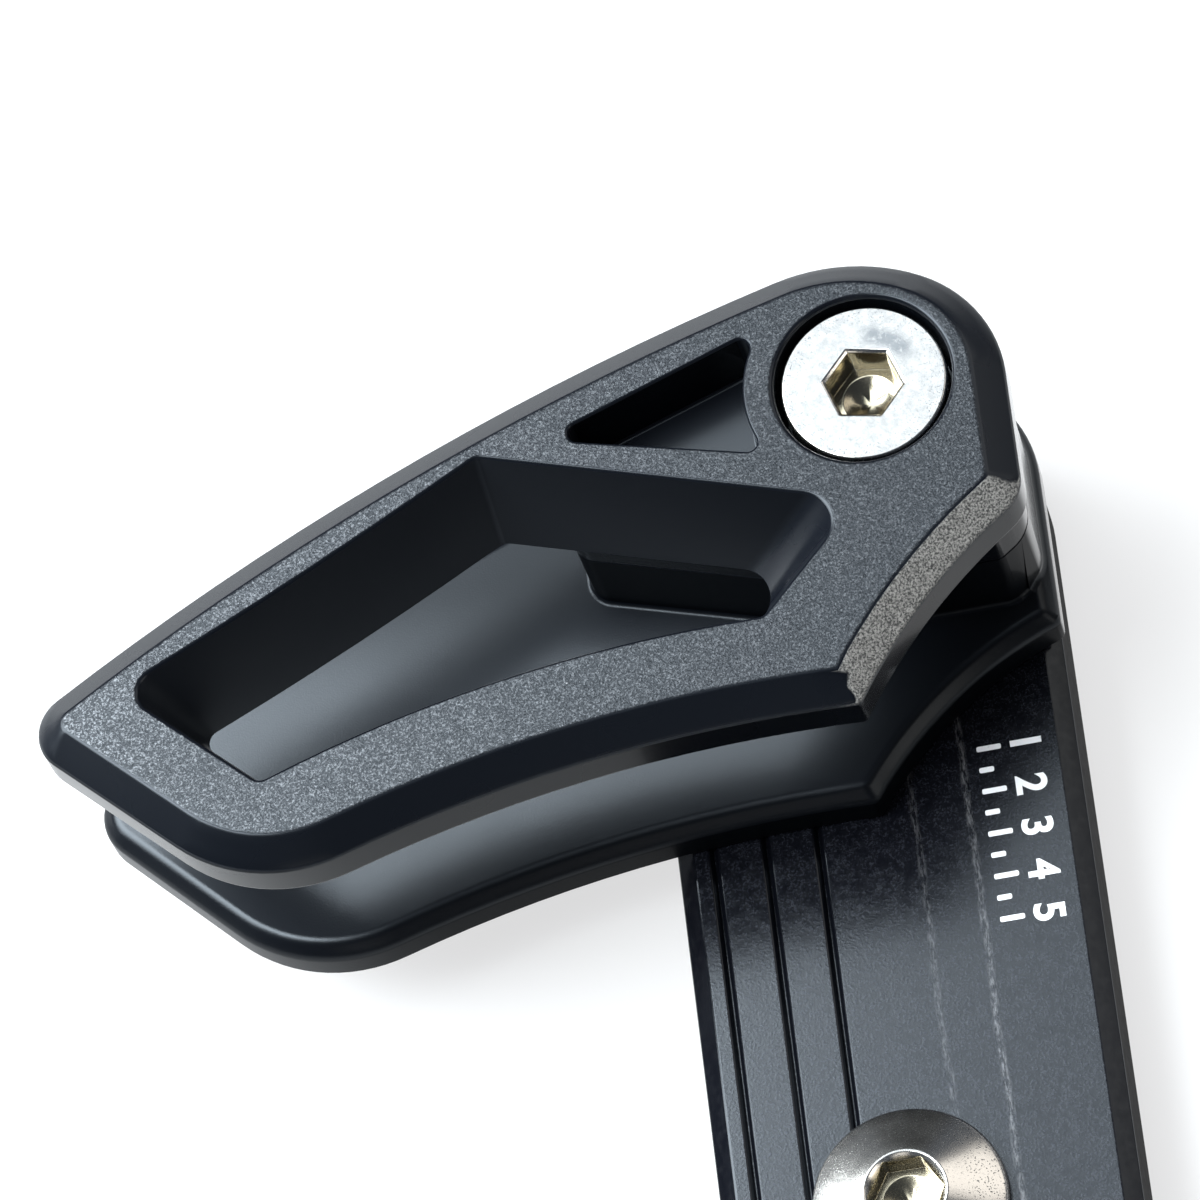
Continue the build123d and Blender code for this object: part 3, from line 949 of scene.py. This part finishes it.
@dataclass
class ArmAndBracket:
    """The sliding arm with its printed scale, and the bracket that it slides on."""

    nodes: dict[str, bpy.types.Object]
    edge: float = 0.10 * MM
    ring_top_z: float = 2.5 * MM
    arm_top_z: float = 7.0 * MM
    ink_thick: float = 0.02 * MM
    scale_x: float = 2.0 * MM
    scale_y: float = -16.8 * MM
    tick_pitch: float = 1.4 * MM
    tick_count: int = 9
    tick_wide: float = 0.34 * MM
    tick_long: float = 1.5 * MM
    tick_short: float = 0.9 * MM
    tick_corner: float = 0.102 * MM
    figure_height: float = 1.9 * MM
    figure_gap: float = 0.45 * MM
    figure_bold: float = 0.0665 * MM
    figure_share: float = 0.73

    def build(self) -> None:
        """Models the arm, the bracket and the printed scale; the bracket stays sharp at the tongue's root."""
        finish = BlackAnodised().material()
        for node, name, body, seam_z in (
            ("slide_arm", "slide_arm_bar", Body.SLIDER, None),
            ("bb_bracket", "bracket_plate", Body.BRACKET, self.ring_top_z),
        ):
            piece = Bench.copy_of(self.nodes[node], name, even=True)
            Bench.soften(piece, self.edge, seam_z=seam_z)
            Bench.dress(piece, finish)
            Bench.settle(piece, body, Slot.ANODISED, node)
        self._print_scale()

    def _print_scale(self) -> None:
        """Prints a plain tick scale along the arm, with a figure at every other tick."""
        marks = []
        for index in range(self.tick_count):
            long = index % 2 == 0
            marks.append(self._tick(index, self.tick_long if long else self.tick_short))
            if long:
                marks.append(self._figure(index))
        Bench.clear()
        for mark in marks:
            mark.select_set(True)
        scale = marks[0]
        bpy.context.view_layer.objects.active = scale
        bpy.ops.object.join()
        scale.name = scale.data.name = "printed_scale"
        Bench.dress(scale, WhiteInk().material())
        Bench.settle(scale, Body.SLIDER, Slot.ANODISED)

    def _on_arm(self, index: int, along: float) -> Vector:
        """Returns a place in the ink, so far along a tick from its start."""
        middle_z = self.arm_top_z + self.ink_thick / 2
        return CHEEK_BOLT + Vector((self.scale_x + along, self.scale_y - index * self.tick_pitch, middle_z))

    def _tick(self, index: int, length: float) -> bpy.types.Object:
        """Models one tick as a thin plate with rounded corners.

        Args:
            index: Number of the tick from the top.
            length: Its length.

        Returns:
            The tick.
        """
        Bench.clear()
        bpy.ops.mesh.primitive_cube_add(size=1.0, location=self._on_arm(index, length / 2))
        tick = bpy.context.active_object
        tick.scale = (length, self.tick_wide, self.ink_thick)
        bpy.ops.object.transform_apply(location=True, rotation=True, scale=True)
        with Bench.editing(tick, "EDGE"):
            bpy.ops.object.mode_set(mode="OBJECT")
            for edge in tick.data.edges:
                start, end = (tick.data.vertices[v].co for v in edge.vertices)
                edge.select = abs(start.z - end.z) > self.ink_thick / 2
            bpy.ops.object.mode_set(mode="EDIT")
            bpy.ops.mesh.bevel(offset=self.tick_corner, segments=Bench.ROUND_FACES)
        return tick

    def _figure(self, index: int) -> bpy.types.Object:
        """Models the figure beside a long tick, as a thin plate.

        Args:
            index: Number of the tick from the top.

        Returns:
            The figure.
        """
        Bench.clear()
        bpy.ops.object.text_add()
        text = bpy.context.active_object.data
        text.body = str(index // 2 + 1)
        text.size = self.figure_height / self.figure_share
        text.align_x = "CENTER"
        text.align_y = "CENTER"
        text.extrude = self.ink_thick / 2
        text.offset = self.figure_bold
        bpy.ops.object.convert(target="MESH")
        figure = bpy.context.active_object
        place = self._on_arm(index, self.tick_long + self.figure_gap + self.figure_height / 2)
        figure.matrix_world = Matrix.Translation(place) @ Matrix.Rotation(math.radians(-90), 4, "Z")
        bpy.ops.object.transform_apply(location=True, rotation=True, scale=True)
        with Bench.editing(figure):
            bpy.ops.mesh.select_all(action="SELECT")
            bpy.ops.mesh.remove_doubles(threshold=Bench.MERGE)
            bpy.ops.mesh.normals_make_consistent(inside=False)
        return figure


@dataclass
class Fasteners:
    """The bolts, the screw, the nut and the insert."""

    nodes: dict[str, bpy.types.Object]
    edge: float = 0.05 * MM
    clamp_top: Vector = Vector((0.0, 41.1414, 9.6)) * MM
    cheek_top: Vector = CHEEK_BOLT + Vector((0.0, 0.0, 24.7)) * MM
    bright_tone: Colour = (0.80, 0.775, 0.735)
    bright_worn: Colour = (0.125, 0.133, 0.140)
    no_patch: float = 0.01 * MM

    def build(self) -> None:
        """Models every fastener."""
        for node, name, slot, metal in (
            ("cheek_bolt", "cheek_bolt_low_head", Slot.POLISHED, self._cheek_bolt_steel()),
            ("clamp_bolt", "clamp_bolt_cone_head", Slot.POLISHED, self._clamp_bolt_steel()),
            ("clamp_nut", "clamp_nut_plate", Slot.PLAIN, self._plain_steel()),
            ("rear_screw", "rear_screw_countersunk", Slot.BLACK, self._black_oxide()),
            ("rear_insert", "rear_insert_sleeve", Slot.BRASS, self._plain_brass()),
        ):
            piece = Bench.copy_of(self.nodes[node], name)
            Bench.soften(piece, self.edge)
            Bench.dress(piece, metal.material())
            Bench.settle(piece, Body.SLIDER, slot, node)

    def _cheek_bolt_steel(self) -> BareMetal:
        """Returns bright plated steel with a darker patch."""
        return BareMetal(
            "cheek_bolt_steel", self.bright_tone, self.bright_worn, roughness=0.17, axis=self.cheek_top
        )

    def _clamp_bolt_steel(self) -> BareMetal:
        """Returns bright steel without the patch."""
        return BareMetal(
            "clamp_bolt_steel", self.bright_tone, self.bright_worn, roughness=0.24, axis=self.clamp_top,
            patch_wide=self.no_patch,
        )

    def _plain_steel(self) -> BareMetal:
        """Returns the nut's steel."""
        return BareMetal(
            "plain_steel", tone=(0.55, 0.55, 0.56), worn_tone=(0.3, 0.3, 0.31), roughness=0.34,
            axis=self.clamp_top,
        )

    def _black_oxide(self) -> BareMetal:
        """Returns the screw's blackened steel."""
        return BareMetal(
            "black_oxide", tone=(0.05, 0.05, 0.052), worn_tone=(0.12, 0.11, 0.10), roughness=0.40,
            axis=self.cheek_top,
        )

    def _plain_brass(self) -> BareMetal:
        """Returns the insert's brass."""
        return BareMetal(
            "plain_brass", tone=(0.72, 0.53, 0.25), worn_tone=(0.40, 0.28, 0.12), roughness=0.30,
            axis=self.cheek_top,
        )


@dataclass(frozen=True)
class Softbox:
    """A rectangular soft light."""

    name: str
    place: Vector
    aim: Vector
    width: float
    depth: float
    radiance: float
    tint: Colour

    def build(self) -> None:
        """Adds the light, facing its aim."""
        data = bpy.data.lights.new(self.name, "AREA")
        data.shape = "RECTANGLE"
        data.size = self.width
        data.size_y = self.depth
        data.energy = self.radiance * math.pi * self.width * self.depth
        data.color = self.tint
        lamp = bpy.data.objects.new(self.name, data)
        lamp.location = self.place
        lamp.rotation_euler = (self.aim - self.place).to_track_quat("-Z", "Y").to_euler()
        lamp.visible_camera = False
        bpy.context.scene.collection.objects.link(lamp)


@dataclass(frozen=True)
class Viewpoint:
    """The camera."""

    place: Vector = Vector((0.0493, -0.1394, 0.4693))
    back: Vector = Vector((0.1226, -0.4313, 0.8938))
    up: Vector = Vector((0.1765, 0.8958, 0.4080))
    lens: float = 253.44
    sensor: float = 36.0
    nearest: float = 0.01
    farthest: float = 20.0

    def build(self) -> None:
        """Adds the camera and makes it the scene's."""
        data = bpy.data.cameras.new("camera")
        data.lens = self.lens
        data.sensor_width = self.sensor
        data.clip_start = self.nearest
        data.clip_end = self.farthest
        camera = bpy.data.objects.new("camera", data)
        right = self.up.cross(self.back).normalized()
        up = self.back.cross(right).normalized()
        turn = Matrix((right, up, self.back.normalized())).transposed().to_4x4()
        camera.matrix_world = Matrix.Translation(self.place) @ turn
        bpy.context.scene.collection.objects.link(camera)
        bpy.context.scene.camera = camera


@dataclass(frozen=True)
class Studio:
    """Floor, lights and camera."""

    floor_size: float = 5.0
    room: Colour = (0.42, 0.50, 0.64)
    room_strength: float = 0.12
    guide: Vector = Vector((-0.01, 0.07, 0.01))
    under_overhead: Vector = Vector((-0.38, 0.45, 0.0))
    cool: Colour = (0.90, 0.965, 1.0)
    warm: Colour = (1.0, 0.95, 0.88)

    def build(self) -> None:
        """Sets the stage."""
        Bench.clear()
        bpy.ops.mesh.primitive_plane_add(size=self.floor_size)
        floor = bpy.context.active_object
        floor.name = "floor"
        Bench.dress(floor, PaleFloor().material())
        for softbox in self._softboxes():
            softbox.build()
        self._light_room()
        bpy.context.scene.view_settings.view_transform = "Standard"
        Viewpoint().build()

    def _softboxes(self) -> tuple[Softbox, ...]:
        """Lists the soft lights, as seen from the camera.

        Returns:
            The lights.
        """
        return (
            Softbox(
                "overhead", Vector((-0.38, 0.45, 0.65)), self.under_overhead,
                width=0.9, depth=0.9, radiance=3.55, tint=self.cool,
            ),
            Softbox(
                "left", Vector((-0.22, 0.13, 0.27)), self.guide,
                width=0.30, depth=0.34, radiance=13.2, tint=self.cool,
            ),
            Softbox(
                "front_left", Vector((-0.19, -0.05, 0.40)), self.guide,
                width=0.12, depth=0.12, radiance=9.0, tint=self.cool,
            ),
            Softbox(
                "right", Vector((0.42, 0.32, 0.34)), self.guide,
                width=0.40, depth=0.34, radiance=1.3, tint=self.warm,
            ),
            Softbox(
                "front", Vector((-0.06, -0.55, 0.30)), self.guide,
                width=0.30, depth=0.08, radiance=1.8, tint=self.warm,
            ),
            Softbox(
                "front_right", Vector((0.40, -0.17, 0.19)), self.guide,
                width=0.20, depth=0.20, radiance=2.4, tint=self.warm,
            ),
        )

    def _light_room(self) -> None:
        """Gives the room its dim light."""
        world = bpy.data.worlds.new("room")
        world.use_nodes = True
        background = world.node_tree.nodes["Background"]
        background.inputs["Color"].default_value = (*self.room, 1.0)
        background.inputs["Strength"].default_value = self.room_strength
        bpy.context.scene.world = world


def main() -> None:
    """Builds the pieces in order and notes each one as done."""
    logging.basicConfig(level=logging.INFO, format="%(name)s: %(message)s")
    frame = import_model()
    nodes = frame["nodes"]
    for part in (CheekPair(nodes), ArmAndBracket(nodes), Fasteners(nodes), Studio()):
        part.build()
        LOG.info("%s is done", type(part).__name__)


if __name__ == "__main__":
    main()
